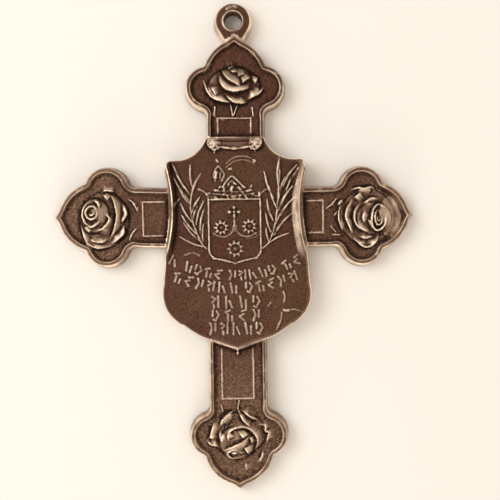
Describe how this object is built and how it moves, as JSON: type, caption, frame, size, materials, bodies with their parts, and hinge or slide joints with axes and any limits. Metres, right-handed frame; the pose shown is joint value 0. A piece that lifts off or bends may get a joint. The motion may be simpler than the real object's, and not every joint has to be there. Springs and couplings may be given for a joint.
{
  "type": "rosary pendant cross",
  "caption": "Small cast bronze pendant cross with rounded trefoil ends, a rose on each end, a relief shield over the crossing and an eye for a jump ring.",
  "frame": {"origin": "middle of the cross's length and width, on its flat back", "axes": "+Y runs along the upright beam towards the bail, +X to the right with the face up, +Z comes out of the face"},
  "size_m": [0.0406, 0.0548, 0.0043],
  "materials": {
    "bronze": "cast bronze with a dark brown patina, rubbed bright along its rims and high edges"
  },
  "bodies": {
    "root": {"pendant_cross": "bronze"}
  },
  "joints": []
}
